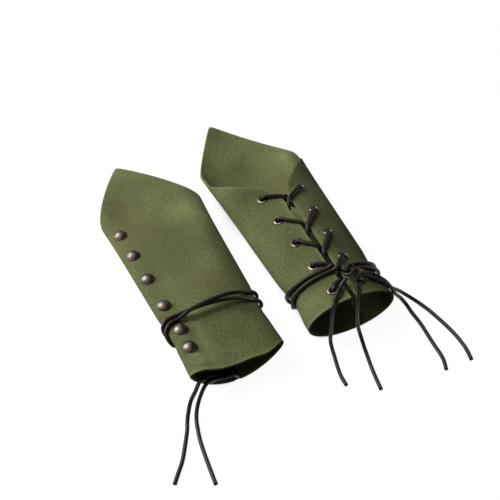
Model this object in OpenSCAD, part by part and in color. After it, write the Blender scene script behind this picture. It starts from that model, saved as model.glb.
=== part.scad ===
// A pair of laced leather forearm bracers lying side by side, wrist ends toward -Y.
// The right one lies on its back with the lacing up. The left one lies on its lacing with the rivets up.
// Millimetres, +Z up, resting on Z = 0.

/* [Leather outline] */
// Thickness of the leather
leather_thick = 2; // [1.6:0.1:2.4]
// Wrist edge to the end of the point, right bracer
right_point_length = 283; // [262:1:300]
// Wrist edge to the end of the point as it lies, left bracer
left_point_length = 260; // [240:1:280]
// Wrist edge to the upper edge of the palm at the side folds
side_length = 182; // [173:1:198]
// Length of the laced edges
laced_length = 119; // [119:1:135]
// How much longer the palm edge runs before its corner is rounded off
corner_rise = 9.5; // [0:0.5:12]
// Half width of the middle of the leather at the wrist
wrist_half_width = 36; // [32:0.5:42]
// Half width of the middle of the leather at the side fold's upper corner
side_half_width = 44.6; // [40:0.2:50]
// Outward flare of the wrist edge
wrist_flare = 1.5; // [0:0.1:2.5]
// Outward flare of the upper edge
side_flare = 1; // [0:0.1:2]
// How far the wrapped cord draws in each side
wrap_waist = 1.2; // [0:0.1:2]

/* [Right bracer section] */
// Half height at the wrist
right_wrist_half_height = 20.4; // [17:0.2:25]
// Half height at the side fold's upper corner
right_side_half_height = 21.5; // [18:0.5:26]

/* [Left bracer section] */
// Half of the height in the middle of the wrist
left_wrist_half_height = 9.8; // [9:0.2:13]
// Half of the height in the middle at the side fold's upper corner
left_side_half_height = 9; // [8.5:0.1:12]
// How far the middle of the back lies below the folds at the wrist
left_wrist_dish = 15.5; // [12:0.5:18]
// How far the middle of the back lies below the folds at the upper corner
left_side_dish = 4; // [2:0.5:8]
// How far the left part of the back rises at the wrist
left_wrist_rise = 2.6; // [1:0.1:3.6]
// How far the right part of the back sinks at the wrist
left_wrist_sink = 4.6; // [1:0.1:5]
// How far the end of the point droops
left_point_droop = 11; // [0:0.5:13]

/* [Lacing] */
// Cord diameter
cord_diameter = 3.2; // [2.8:0.1:3.4]
// Eyelets in each column
eyelet_rows = 5; // [3:1:5]
// Wrist edge to the first eyelet row
first_row = 13; // [12:0.5:16]
// Distance from row to row
row_pitch = 28.8; // [27:0.2:30]
// Middle of the gap to the first eyelet
eyelet_reach_first = 12; // [11.5:0.5:16]
// Middle of the gap to the last eyelet
eyelet_reach_last = 18; // [15:0.5:22]
// Half of the gap at the wrist edge
gap_half_wrist = 2.3; // [2.1:0.1:2.6]
// Half of the gap at its upper end
gap_half_top = 3.6; // [3.2:0.1:4]
// Bore of an eyelet
eyelet_bore = 5; // [4.6:0.1:5.4]
// Outside of an eyelet's flange
eyelet_flange = 9; // [8.4:0.1:9.4]
// Height of an eyelet's flange
flange_height = 0.9; // [0.7:0.1:1]
// Wall of an eyelet's barrel
barrel_wall = 0.4; // [0.3:0.05:0.5]
// Thickness of the washer behind an eyelet
washer_thick = 0.5; // [0.4:0.1:0.7]

/* [Rivets] */
// Diameter of a rivet's dome
rivet_diameter = 12; // [11:0.5:12.5]
// Height of a rivet's dome
rivet_height = 3.8; // [3:0.2:4.4]
// Diameter of a rivet's post
post_diameter = 3.6; // [3:0.2:4]
// Diameter of the post's foot inside the bracer
foot_diameter = 8; // [7:0.5:9]
// Thickness of the post's foot
foot_thick = 0.9; // [0.6:0.1:1.2]

/* [Placement] */
// Distance between the two bracers' middles
bracer_spacing = 103; // [98:1:130]
// How far the left bracer lies nearer than the right one
left_setback = 8.5; // [0:0.5:20]

/* [Hidden] */
RIGHT = 0;
LEFT = 1;
half_leather = leather_thick / 2;
cord_r = cord_diameter / 2;
hair = 0.1;
seam_gap = 0.3;
fit_clear = 0.1;
hollow_clear = 0.35;
full_turn = 360;
palm_mid = 90;
left_fold = 180;
back_mid = 270;
// The point's tip lies a little toward the rivets
tip_angle = [266.8, 260.8];
point_length = [right_point_length, left_point_length];
gap_top = laced_length + corner_rise;
corner_reach = 4;
tip_round = 0.025;
// How far past the palm's edge the back's edge meets the folds, and over what share of the way
corner_step = [12, 6];
corner_span = [0.06, 0.1];
// Bow of the cut edges on the way to the left fold and to the right fold
palm_bow = [0.1, 0.45];
back_bow = [[0.65, 0.5], [0.77, 0.95]];
wrist_flare_reach = 14;
side_flare_start = 130;
// Middle of the wrapped cord along each bracer and the reach of its waist
wrap_middle = [31, 44];
wrap_reach = 16;
lift_reach = 20;
// The right bracer's back is raised where the cord passes under it
wrap_lift = 2 * cord_r + hair + 0.9;
lift = [wrap_lift, 0];
// Height of the cord's middle over the middle of the leather, outside and inside
lie = half_leather + cord_r + hair;
rim = half_leather + flange_height + cord_r + hair;
roll_height = 0.4;
under = half_leather + cord_r + 2 * hair + washer_thick + hollow_clear + roll_height;
// A tenth of the cord is cut flat where the left bracer stands on it
flat_cut = cord_diameter / 10;
// The lacing stands out past the middle of the palm
lacing_past = 0.3;
stand = [half_leather, rim + cord_r - flat_cut - lacing_past];
side_x = [bracer_spacing / 2, -bracer_spacing / 2];
middle_y = (right_point_length - left_setback) / 2;
side_y = [-middle_y, -middle_y - left_setback];

wrist_h = [right_wrist_half_height, left_wrist_half_height];
side_h = [right_side_half_height, left_side_half_height];
wrist_d = [0, left_wrist_dish];
side_d = [0, left_side_dish];
droop = [0, left_point_droop];
// The rise and the sinking fade out along the back and leave the folds as they were
wrist_rise = [0, left_wrist_rise];
wrist_sink = [0, left_wrist_sink];
wave_end = 150;
wave_fade = 1.5;
wave_power = 4;
palm_up = [1, -1];

function share(y) = y / side_length;
function swell(u) = exp(-pow(u, 2));
function flat_swell(u) = exp(-pow(u, 4));
function half_width(b, y) = wrist_half_width + (side_half_width - wrist_half_width) * share(y)
    + wrist_flare * swell(y / wrist_flare_reach)
    + side_flare * pow(max(0, y - side_flare_start) / (side_length - side_flare_start), 2)
        * (y > side_length ? pow(side_length / y, 4) : 1)
    - wrap_waist * flat_swell((y - wrap_middle[b]) / wrap_reach);
function half_height(b, y) = wrist_h[b] + (side_h[b] - wrist_h[b]) * min(1, share(y));
function dish(b, y) = wrist_d[b] + (side_d[b] - wrist_d[b]) * min(1, share(y));
function back_wave(b, angle, y) = sin(angle) < 0
    ? (cos(angle) < 0 ? wrist_rise[b] : -wrist_sink[b])
        * pow(max(0, 1 - y / wave_end), wave_fade) * pow(sin(2 * angle), wave_power) : 0;
// Height of the middle of the leather over the folds
function level(b, angle, y) = let(s = palm_up[b] * sin(angle))
    half_height(b, y) * s - dish(b, y) * s * s + back_wave(b, angle, y);
// Middle of the leather. The angle is 0 at the right fold, 90 in the palm, 180 at the left fold
function middle(b, angle, y) = let(
    s = palm_up[b] * sin(angle),
    past = max(0, y - side_length) / (point_length[b] - side_length)
) [
    half_width(b, y) * cos(angle),
    y,
    stand[b] + half_height(b, y) + dish(b, y) + level(b, angle, y)
        + lift[b] * pow((1 - s) / 2, 2) * swell((y - wrap_middle[b]) / lift_reach)
        - droop[b] * past * past
];
function outward(b, angle, y) = let(
    p = middle(b, angle + 1, y) - middle(b, angle - 1, y),
    n = palm_up[b] * [p.z, 0, -p.x]
) n / norm(n);
// A point at a height over the middle of the leather
function at(b, angle, y, over) = middle(b, angle, y) + over * outward(b, angle, y);
// The same on the palm by its distance from the middle of the gap
function palm_angle(b, x, y) = acos(max(-1, min(1, x / half_width(b, y))));
function palm(b, x, y, over) = at(b, palm_angle(b, x, y), y, over);
function gap_half(y) = gap_half_wrist + (gap_half_top - gap_half_wrist) * y / laced_length;
function around(m, bow) = (1 - bow) * m + bow * sin(90 * m);
function rounded(u) = (sqrt(u * u + tip_round * tip_round) - tip_round)
    / (sqrt(1 + tip_round * tip_round) - tip_round);
// Where the upper edge is cut, by angle
function palm_cut(b, angle) = let(
    m = abs(angle - palm_mid) / 90,
    x = abs(half_width(b, laced_length) * cos(angle)) - gap_half_top
) gap_top + (side_length - gap_top) * around(m, palm_bow[angle > palm_mid ? 0 : 1])
    - corner_rise * exp(-max(0, x) / corner_reach);
function back_cut(b, angle) = let(
    t = tip_angle[b],
    past_tip = angle > t,
    m = past_tip ? (angle - t) / (full_turn - t) : (t - angle) / (t - left_fold)
) point_length[b]
    - (point_length[b] - side_length - corner_step[b]) * rounded(around(m, back_bow[b][past_tip ? 1 : 0]))
    - corner_step[b] * exp((m - 1) / corner_span[b]);
function cut_at(b, angle) = angle > left_fold ? back_cut(b, angle) : palm_cut(b, angle);
function seam_angle(b) = asin(seam_gap / 2 / wrist_h[b]);
function gap_angle(b, y) = asin(gap_half(y) / half_width(b, y));

columns_to_tip = 22;
columns_past_tip = 11;
shell_columns = columns_to_tip + columns_past_tip;
flap_columns = 11;
leather_rows = 21;
row_crowding = 1.3;
gap_crowding = 1.2;
fold_crowding = 14;
function row_share(j) = pow(j / leather_rows, row_crowding);
// Steps from one angle to another that are shorter at the folds
function crowded(u) = u - fold_crowding * sin(2 * u);
function stepped(a, c, u) = a + (c - a) * (crowded(a + (c - a) * u) - crowded(a)) / (crowded(c) - crowded(a));
function shell_angle(b, i, v) = let(a = palm_mid + gap_angle(b, v * laced_length), t = tip_angle[b])
    i <= columns_to_tip ? stepped(a, t, pow(i / columns_to_tip, gap_crowding))
        : stepped(t, full_turn - seam_angle(b), (i - columns_to_tip) / columns_past_tip);
function flap_angle(b, i, v) = stepped(seam_angle(b), palm_mid - gap_angle(b, v * laced_length),
    1 - pow(1 - i / flap_columns, gap_crowding));
function leather_point(b, angle, v, over) = at(b, angle, v * cut_at(b, angle), over);

// A closed sheet from two grids of columns by rows
module sheet(columns, rows, outer, inner, turn) {
    line = rows + 1;
    count = (columns + 1) * line;
    grid = [for (i = [0:columns - 1]) for (j = [0:rows - 1]) [i * line + j, (i + 1) * line + j]];
    top = [for (g = grid) each [[g[0], g[0] + 1, g[1]], [g[1], g[0] + 1, g[1] + 1]]];
    bottom = [for (t = top) [t[2] + count, t[1] + count, t[0] + count]];
    border = concat(
        [for (i = [0:columns - 1]) [(i + 1) * line, i * line]],
        [for (j = [0:rows - 1]) [j, j + 1]],
        [for (i = [0:columns - 1]) [i * line + rows, (i + 1) * line + rows]],
        [for (j = [0:rows - 1]) [columns * line + j + 1, columns * line + j]]
    );
    sides = [for (e = border) each [[e[1], e[0], e[0] + count], [e[1], e[0] + count, e[1] + count]]];
    faces = concat(top, bottom, sides);
    polyhedron(concat(outer, inner), [for (f = faces) turn > 0 ? [f[2], f[1], f[0]] : f], convexity = 6);
}

module leather_shell(b) {
    outer = [for (i = [0:shell_columns]) for (j = [0:leather_rows]) let(v = row_share(j))
        leather_point(b, shell_angle(b, i, v), v, half_leather)];
    inner = [for (i = [0:shell_columns]) for (j = [0:leather_rows]) let(v = row_share(j))
        leather_point(b, shell_angle(b, i, v), v, -half_leather)];
    sheet(shell_columns, leather_rows, outer, inner, palm_up[b]);
}

module leather_flap(b) {
    outer = [for (i = [0:flap_columns]) for (j = [0:leather_rows]) let(v = row_share(j))
        leather_point(b, flap_angle(b, i, v), v, half_leather)];
    inner = [for (i = [0:flap_columns]) for (j = [0:leather_rows]) let(v = row_share(j))
        leather_point(b, flap_angle(b, i, v), v, -half_leather)];
    sheet(flap_columns, leather_rows, outer, inner, palm_up[b]);
}

// Puts children at a point of the leather with +Z pointing outward
module seat(b, angle, y) {
    across = middle(b, angle + 1, y) - middle(b, angle - 1, y);
    along = middle(b, angle, y + 1) - middle(b, angle, y - 1);
    m = palm_up[b] * cross(along, across);
    n = m / norm(m);
    translate(middle(b, angle, y)) rotate(a = acos(n.z), v = [-n.y, n.x, 0]) children();
}
module place(b) {
    translate([side_x[b], side_y[b], 0]) children();
}

function row_y(i) = first_row + i * row_pitch;
function reach(i) = eyelet_reach_first
    + (eyelet_reach_last - eyelet_reach_first) * i / max(1, eyelet_rows - 1);
module at_eyelets(b, side) {
    for (i = [0:eyelet_rows - 1]) seat(b, palm_angle(b, side * reach(i), row_y(i)), row_y(i)) children();
}
barrel_r = eyelet_bore / 2 + barrel_wall;
flange_r = eyelet_flange / 2;
washer_r = flange_r - 0.4;
barrel_foot = half_leather + hollow_clear + washer_thick;
roll_r = barrel_r + 0.6;
module eyelet() {
    rotate_extrude($fn = 32) polygon([
        [eyelet_bore / 2, half_leather + flange_height - 0.3],
        [eyelet_bore / 2, -barrel_foot - roll_height + 0.15],
        [eyelet_bore / 2 + 0.15, -barrel_foot - roll_height],
        [roll_r, -barrel_foot - roll_height],
        [roll_r, -barrel_foot - hair],
        [barrel_r, -barrel_foot - hair],
        [barrel_r, half_leather + hair],
        [flange_r, half_leather + hair],
        [flange_r, half_leather + 0.35],
        [flange_r - 0.5, half_leather + flange_height - 0.15],
        [flange_r - 1.1, half_leather + flange_height],
        [eyelet_bore / 2 + 0.35, half_leather + flange_height],
    ]);
}
module washer() {
    translate([0, 0, -barrel_foot]) difference() {
        cylinder(r = washer_r, h = washer_thick, $fn = 32);
        translate([0, 0, -1]) cylinder(r = barrel_r + 0.05, h = washer_thick + 2, $fn = 32);
    }
}
module eyelet_holes(b, side) {
    at_eyelets(b, side) cylinder(r = barrel_r + fit_clear, h = 4 * leather_thick, center = true, $fn = 24);
}

// Hand chosen places of the rivets, from the wrist edge
rivet_rows = [24.5, 44, 73, 106, 137, 165];
// On the right bracer they lie a little farther under it
rivet_inset = [10.8, 8.2];
// The leather is bent, so the flat feet of the domes stand off a little
dome_rise = [0.45, 0.4];
foot_clear = [0.45, 0.62];
function rivet_angle(b, y) = full_turn / 2 + acos((half_width(b, y) - rivet_inset[b]) / half_width(b, y));
module at_rivets(b) {
    for (y = rivet_rows) seat(b, rivet_angle(b, y), y) children();
}
module rivet_dome(b) {
    r = rivet_diameter / 2;
    ball = (r * r + rivet_height * rivet_height) / (2 * rivet_height);
    socket = rivet_height * 0.55;
    translate([0, 0, half_leather + dome_rise[b]]) difference() {
        rotate_extrude($fn = 48) intersection() {
            translate([0, rivet_height - ball]) circle(r = ball, $fn = 96);
            square([r, rivet_height]);
        }
        translate([0, 0, -1]) cylinder(d = post_diameter + 2 * fit_clear, h = socket + 1, $fn = 32);
    }
}
module rivet_post(b) {
    head = half_leather + dome_rise[b] + rivet_height * 0.55 - fit_clear;
    foot = half_leather + foot_clear[b] + foot_thick;
    translate([0, 0, -foot]) union() {
        cylinder(d = foot_diameter, h = foot_thick, $fn = 40);
        cylinder(d = post_diameter, h = foot + head, $fn = 32);
    }
}
module rivet_holes(b) {
    at_rivets(b) cylinder(d = post_diameter + 2 * fit_clear, h = 4 * leather_thick, center = true, $fn = 24);
}

// A tube swept along points
function unit(v) = v / norm(v);
function heading(p, i) = unit(p[min(i + 1, len(p) - 1)] - p[max(i - 1, 0)]);
function square_to(t, v) = unit(v - (v * t) * t);
function first_square(t) = square_to(t, abs(t.z) < 0.9 ? [0, 0, 1] : [1, 0, 0]);
function frames(p) = [for (
    i = 0, n = first_square(heading(p, 0));
    i < len(p);
    i = i + 1, n = square_to(heading(p, min(i, len(p) - 1)), n)
) n];
module tube(p, r, sides) {
    n = frames(p);
    points = [for (i = [0:len(p) - 1]) let(t = heading(p, i), m = cross(t, n[i])) for (k = [0:sides - 1])
        p[i] + r * (cos(full_turn * k / sides) * n[i] + sin(full_turn * k / sides) * m)];
    body = [for (i = [0:len(p) - 2]) for (k = [0:sides - 1]) let(
        a = i * sides + k,
        c = i * sides + (k + 1) % sides
    ) each [[a, a + sides, c], [c, a + sides, c + sides]]];
    start = [[for (k = [0:sides - 1]) k]];
    end = [[for (k = [0:sides - 1]) len(points) - 1 - k]];
    polyhedron(points, concat(body, start, end), convexity = 8);
}

// One lacing leg. It rises through an eyelet, lies over the leather, drops through the gap and runs under
// the other half. The numbers are the share of the way to the gap or across, the way down, and the height
low_leg = [[0.34, 2.2, rim - 0.1], [0.62, 4.2, lie + 0.45], [0.88, 6.8, 2.3], [1, 9, -0.2],
    [1.12, 11.2, -2.4]];
// The left bracer's upper legs drop earlier and leave room for the wrapped cord
high_leg = [
    [[0.3, 3, rim + 0.1], [0.6, 7, rim], [0.9, 11.2, lie + 0.55], [1.02, 14.6, 1.7], [1.05, 17, -0.6],
        [1.12, 19, -3]],
    [[0.3, 2.8, rim + 0.1], [0.6, 6.2, rim], [0.9, 10.4, lie + 0.5], [1.02, 13.2, 1.6], [1.05, 14.8, -0.6],
        [1.13, 16.2, -2.8]]
];
// The stretch inside, as shares of the way across and down, and height
low_under = [[0.34, 0.53, 0], [0.72, 0.78, 0], [0.93, 0.97, 0.1]];
high_under = [[0.34, 0.76, 0], [0.72, 0.87, 0], [0.93, 0.97, 0.1]];
// In the middle rows of the right bracer the legs run more steeply
steep_low_leg = [[0.34, 4.6, rim - 0.1], [0.62, 8.6, lie + 0.45], [0.88, 12.4, 2.3], [1, 14.6, -0.2],
    [1.12, 16.8, -2.4]];
steep_high_leg = [[0.3, 5.6, rim + 0.1], [0.6, 11.4, rim], [0.9, 17, lie + 0.55], [1.02, 20.4, 1.7],
    [1.05, 22.4, -0.6], [1.12, 24, -3]];
steep_low_under = [[0.34, 0.66, 0], [0.72, 0.84, 0], [0.93, 0.97, 0.1]];
steep_high_under = [[0.34, 0.88, 0], [0.72, 0.94, 0], [0.93, 0.985, 0.1]];
function steep(b, i) = b == RIGHT && i > 1 && i < last;
function rise(b, side, i) = let(x = side * reach(i), y = row_y(i)) [
    palm(b, x - side * 0.1, y, -lie - 0.3),
    palm(b, x, y, -0.4),
    palm(b, x - side * 0.1, y, 1.7),
    palm(b, x - side * 1.7, y - 0.5, rim + 0.1)
];
function leg(b, side, i) = let(
    x = side * reach(i),
    y = row_y(i),
    shape = side < 0 ? (steep(b, i) ? steep_low_leg : low_leg) : steep(b, i) ? steep_high_leg : high_leg[b],
    under_run = side < 0 ? (steep(b, i) ? steep_low_under : low_under)
        : steep(b, i) ? steep_high_under : high_under,
    far_x = -side * reach(i - 1),
    far_y = row_y(i - 1)
) concat(
    [for (p = shape) palm(b, x * (1 - p[0]), y - p[1], p[2])],
    [for (p = under_run) palm(b, far_x * p[0], y + (far_y - y) * p[1], p[2] - under)]
);
function strand(b, side, i) = concat(
    rise(b, side, i),
    i > 0 ? concat(leg(b, side, i), strand(b, -side, i - 1)) : []
);
function flipped(p) = [for (i = [len(p) - 1:-1:0]) p[i]];
last = eyelet_rows - 1;
bar_y = row_y(last);
// The strand inside the bracer that joins the last two eyelets, as shares of the reach, way down and height
bar_points = [[-0.8, 0, 0.1], [-0.35, 1, 0], [0.35, 1, 0], [0.8, 0, 0.1]];
function bar(b) = [for (p = bar_points) palm(b, reach(last) * p[0], bar_y - p[1], p[2] - under)];
// Ends of the lace as [x, y, height over the leather]: on the right bracer up to the knot, on the left one
// through the gap at the wrist
end_side = eyelet_rows % 2 == 1 ? 1 : -1;
lace_end_minus = [
    [[-9, 15, rim + 0.1], [-5, 17, rim], [-2.4, 18.2, rim + 0.6]],
    [[-8.5, 11, rim + 0.1], [-4.5, 9.4, lie + 0.5], [-1.6, 8.7, 2.6], [-0.6, 8.4, 1.1], [-0.5, 8.2, -1.2],
        [-1.4, 8, -2.6], [-3.4, 7.8, -lie - 0.1]]
];
lace_end_plus = [
    [[10.6, 15.6, rim + 0.8]],
    [[8.5, 8.5, rim + 0.1], [4.5, 5.2, lie + 0.5], [1.6, 4.2, 2.6], [0.4, 3.8, 0.9], [-0.3, 3.6, -1.1],
        [-1.5, 3.5, -2.6], [-3.4, 3.4, -lie - 0.1]]
];
function over_leather(b, list) = [for (p = list) palm(b, p.x, p.y, p.z)];
function lace_path(b) = concat(
    flipped(over_leather(b, end_side > 0 ? lace_end_minus[b] : lace_end_plus[b])),
    flipped(strand(b, -1, last)),
    bar(b),
    strand(b, 1, last),
    over_leather(b, end_side > 0 ? lace_end_plus[b] : lace_end_minus[b])
);

// The cord wound twice round each bracer, as [angle, distance from the wrist edge, extra height]
right_wind = [[91.5, 32.9, 2.6], [94, 32.9, 2.2], [97, 32.9, 1], [102, 33.1, 0], [135, 34, 0],
    [160, 35, 0], [180, 36.6, 0], [219, 36.1, 0.1], [270, 35.8, 0.3], [315, 34.5, 0.2], [360, 32.5, 0],
    [405, 30, 0], [430, 29.2, 0], [440.6, 28.9, 0.1], [443, 28.9, 0.9], [445.3, 28.8, 2.2],
    [446.9, 28.8, 3.1], [448.4, 28.8, 3.6], [450, 28.9, 3.3], [452.4, 28.9, 1.6], [454.7, 29, 0.4],
    [460, 29.1, 0], [475, 29.3, 0], [500, 29.4, 0], [520, 28.6, 0], [540, 26.4, 0], [555, 28.4, 0],
    [567, 31.2, 0], [579, 32.4, 0.1], [600, 31.6, 0.2], [630, 29.6, 0.3], [675, 27, 0.2],
    [720, 25.5, 0], [765, 24.9, 0], [790, 24.6, 0], [797, 24.2, 0.1]];
left_wind = [[89.8, 45.1, -6.2], [90, 45.1, -4.1], [91, 45.1, -2.1], [92.8, 45.1, -0.4],
    [95.5, 45.1, 0], [98, 45.1, 0.1], [102.5, 45.2, 0.9], [112, 45.4, 1.5], [118, 45.7, 2.6],
    [125, 46.2, 3.7], [130, 46.6, 4], [136, 46.8, 3.9], [142, 47, 2.9], [149, 47.2, 0.6],
    [156, 47.4, 0], [165, 47.8, 0], [180, 50.6, 0], [192, 54.4, 0], [205, 56.4, 0], [225, 57.4, 0],
    [250, 58.8, 0], [270, 59, 0], [290, 57.4, 0], [315, 54, 0], [340, 48, 0], [360, 42.8, 0],
    [380, 44.6, 0], [400, 46.8, 0], [415, 48.2, 0], [430, 48.8, 0], [450, 48.8, 0], [470, 48.8, 0],
    [478, 48.6, 0], [485, 47.8, 0], [490, 46.8, 0], [496, 45.4, 0], [502, 43.2, 0], [510, 40.2, 0],
    [518, 38.8, 0], [526, 39.6, 0], [540, 44.4, 0], [550, 48.2, 0], [562, 51.2, 0], [575, 52.6, 0],
    [585, 53.4, 0.3], [600, 55.6, 2.7], [610, 56.8, 3.4], [630, 58.2, 3.9], [650, 59.2, 3.6],
    [675, 59.6, 0.6], [700, 56.8, 0], [720, 52.6, 0], [735, 52.5, 0], [765, 52.5, 0], [800, 52.5, 0],
    [804.5, 52.5, 0], [807.2, 52.5, -0.4], [808.6, 52.5, -2.1], [809.1, 52.4, -4.1], [809.2, 52.3, -4.9]];
wind = [right_wind, left_wind];
widest_step = 15;
fold_step = 5;
fold_near = 0.34;
wind_lie = lie + 0.25;
function span(list, a, i = 0) = i >= len(list) - 2 || list[i + 1][0] >= a ? i : span(list, a, i + 1);
function bend(p0, p1, p2, p3, u) = 0.5 * (2 * p1 + (p2 - p0) * u + (2 * p0 - 5 * p1 + 4 * p2 - p3) * u * u
    + (3 * p1 - p0 - 3 * p2 + p3) * u * u * u);
function eased(list, a, k) = let(
    i = span(list, a),
    u = (a - list[i][0]) / (list[i + 1][0] - list[i][0])
) bend(list[max(0, i - 1)][k], list[i][k], list[i + 1][k], list[min(len(list) - 1, i + 2)][k], u);
// On the left bracer's dished back the cord runs straight from one crest to the other
crests = [207, 348];
function float_over(b, angle, y) = let(
    a = angle % full_turn,
    from = level(b, crests[0], y),
    to = level(b, crests[1], y),
    way = (cos(a) - cos(crests[0])) / (cos(crests[1]) - cos(crests[0]))
) dish(b, y) > 0 && a > crests[0] && a < crests[1] ? max(0, from + (to - from) * way - level(b, a, y)) : 0;
function wind_point(b, a) = let(y = eased(wind[b], a, 1))
    at(b, a % full_turn, y, wind_lie + eased(wind[b], a, 2)) + [0, 0, float_over(b, a, y)];
function wind_angles(b) = let(w = wind[b]) concat(
    [for (i = [0:len(w) - 2]) let(
        d = w[i + 1][0] - w[i][0],
        n = ceil(d / (abs(sin(w[i][0] + d / 2)) < fold_near ? fold_step : widest_step))
    ) for (k = [0:n - 1])
        w[i][0] + (w[i + 1][0] - w[i][0]) * k / n],
    [w[len(w) - 1][0]]
);
function wind_path(b) = [for (a = wind_angles(b)) wind_point(b, a)];

// Least distance between stretches of one cord that are not neighbours
function least_gap(p, skip) = min([for (i = [0:len(p) - 1]) for (j = [i + skip:1:len(p) - 1])
    norm(p[i] - p[j])]);
wind_neighbours = 12;
lace_neighbours = 6;
echo(right_wind_gap = least_gap(wind_path(RIGHT), wind_neighbours) - cord_diameter);
echo(left_wind_gap = least_gap(wind_path(LEFT), wind_neighbours) - cord_diameter);
echo(right_lace_gap = least_gap(lace_path(RIGHT), lace_neighbours) - cord_diameter);
echo(left_lace_gap = least_gap(lace_path(LEFT), lace_neighbours) - cord_diameter);

// The knot is one cord in a three lobed loop over the gap
knot_cord_r = cord_r * 0.875;
knot_ring = 3.5;
knot_swing = 1.6;
knot_place = [5.5, 21];
knot_rings = 48;
knot_height = knot_swing * 1.03;
knot_over = lie + cord_r + hair + knot_swing + knot_cord_r + 0.2;
module knot(b) {
    y = knot_place.y;
    n = outward(b, palm_angle(b, knot_place.x, y), y);
    translate(palm(b, knot_place.x, y, knot_over)) rotate([0, atan2(n.x, n.z), 0]) loop_tube(
        [for (i = [0:knot_rings - 1])
            let(a = full_turn * i / knot_rings, r = knot_ring + knot_swing * cos(3 * a))
            [r * cos(2 * a), r * sin(2 * a), knot_height * sin(3 * a)]], knot_cord_r, 6);
}
// A tube that closes on itself, with each ring square to the path and turned from the vertical
module loop_tube(p, r, sides) {
    count = len(p);
    points = [for (i = [0:count - 1]) let(
        t = unit(p[(i + 1) % count] - p[(i + count - 1) % count]),
        n = square_to(t, [0, 0, 1]),
        m = cross(t, n)
    ) for (k = [0:sides - 1]) p[i] + r * (cos(full_turn * k / sides) * n + sin(full_turn * k / sides) * m)];
    body = [for (i = [0:count - 1]) for (k = [0:sides - 1]) let(
        j = (i + 1) % count,
        a = i * sides + k,
        c = i * sides + (k + 1) % sides,
        d = j * sides + k,
        e = j * sides + (k + 1) % sides
    ) each [[a, d, c], [c, d, e]]];
    polyhedron(points, body, convexity = 8);
}

// Free tails. The first list is [x, y, height over the leather], the second [x, y, z] beside the leather,
// both from the middle of the wrist edge
floor_z = cord_r;
tail_a_on = [[0.2, 13.8, 8], [-3.4, 12.4, 5.6], [-6.6, 10, 4], [-10.6, 6.4, 3.9], [-14.6, 3.2, 3]];
tail_a_off = [[-18, -0.6, 42.4], [-20.6, -3.6, 37], [-21.8, -5.6, 28], [-22.6, -7.4, 18], [-23, -9, 9],
    [-22.8, -12.4, floor_z + 1], [-24, -18, floor_z], [-27, -29.5, floor_z], [-28.6, -38, floor_z],
    [-28.8, -46.6, floor_z]];
tail_b_on = [[6.4, 12.6, 6], [6.6, 9.4, 3.4], [5, 5, 2.9], [3.2, 1, 2.9], [2, -1.6, 2.2]];
tail_b_off = [[1, -4, 40.4], [0.4, -5.4, 35], [0.6, -6.4, 25.5], [1.8, -7, 15.6], [3.4, -8.6, 7],
    [3.8, -12, floor_z + 0.6], [2.6, -17, floor_z], [0.8, -24, floor_z], [-3.7, -43.8, floor_z],
    [-6.6, -61, floor_z]];
tail_c_on = [[12.6, 20, 7.2], [17, 19, 4.4], [23, 17.4, 2.9], [29, 14.6, 2.8], [34, 11, 2.8]];
tail_c_off = [[41.4, 8.6, 24], [46.4, 9.4, 18.6], [52.2, 9.8, 12.4], [58.6, 6.8, 6.6], [64, 2, floor_z + 1],
    [67.4, -5, floor_z], [70.1, -15, floor_z], [74, -36.3, floor_z], [74.6, -53.3, floor_z],
    [72.3, -66.4, floor_z]];
tail_d_on = [[12.4, 16.2, 8.4], [16.6, 14.6, 5.6], [21.6, 12.4, 3.4], [27, 9.8, 2.8], [32.6, 6.8, 2.8],
    [36.2, 5.2, 2.8]];
tail_d_off = [[40.8, 3.8, 23.4], [44.8, 4.2, 17.4], [49.2, 4.4, 11.4], [53, 0.8, 5.4],
    [54.6, -6, floor_z + 0.3],
    [55, -20.7, floor_z], [53.6, -38, floor_z], [52.6, -55.1, floor_z], [49.1, -66.2, floor_z]];
tail_e_on = [[-3.7, 7.8, -2.8], [-12, 6.4, -2.8], [-20, 5.4, -2.8], [-26, 3.4, -2.8], [-29.4, 0.2, -2.9]];
tail_e_off = [[-32.2, -2.6, 23.4], [-36.8, -5.6, 18.8], [-42.2, -8.6, 12.6], [-46.6, -13.6, 6.2],
    [-49.6, -18.6, floor_z + 0.8], [-53, -26, floor_z], [-63.8, -45, floor_z], [-70.4, -53.5, floor_z],
    [-76.5, -61.2, floor_z]];
tail_f_on = [[-3.7, 3.4, -2.8], [-11, 2.8, -2.8], [-18, 2, -2.8], [-23, 0.2, -3]];
tail_f_off = [[-27.6, -3, 17.8], [-33.4, -6.4, 11.8], [-38.4, -11.6, 6.8], [-41.6, -17, 3.2],
    [-43.6, -23, floor_z], [-46.7, -37, floor_z], [-48.7, -55.6, floor_z], [-50.1, -73.4, floor_z]];
module tail(b, on, off) {
    tube(concat(over_leather(b, on), off), cord_r, 8);
}

module right_leather_shell() color([0.42, 0.45, 0.3]) place(RIGHT) difference() {
    leather_shell(RIGHT);
    eyelet_holes(RIGHT, -1);
    rivet_holes(RIGHT);
}
module right_leather_flap() color([0.48, 0.51, 0.34]) place(RIGHT) difference() {
    leather_flap(RIGHT);
    eyelet_holes(RIGHT, 1);
}
module left_leather_shell() color([0.42, 0.45, 0.3]) place(LEFT) difference() {
    leather_shell(LEFT);
    eyelet_holes(LEFT, -1);
    rivet_holes(LEFT);
}
module left_leather_flap() color([0.48, 0.51, 0.34]) place(LEFT) difference() {
    leather_flap(LEFT);
    eyelet_holes(LEFT, 1);
}
module right_rivet_domes() color([0.5, 0.45, 0.43]) place(RIGHT) at_rivets(RIGHT) rivet_dome(RIGHT);
module right_rivet_posts() color([0.6, 0.55, 0.5]) place(RIGHT) at_rivets(RIGHT) rivet_post(RIGHT);
module left_rivet_domes() color([0.5, 0.45, 0.43]) place(LEFT) at_rivets(LEFT) rivet_dome(LEFT);
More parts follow.
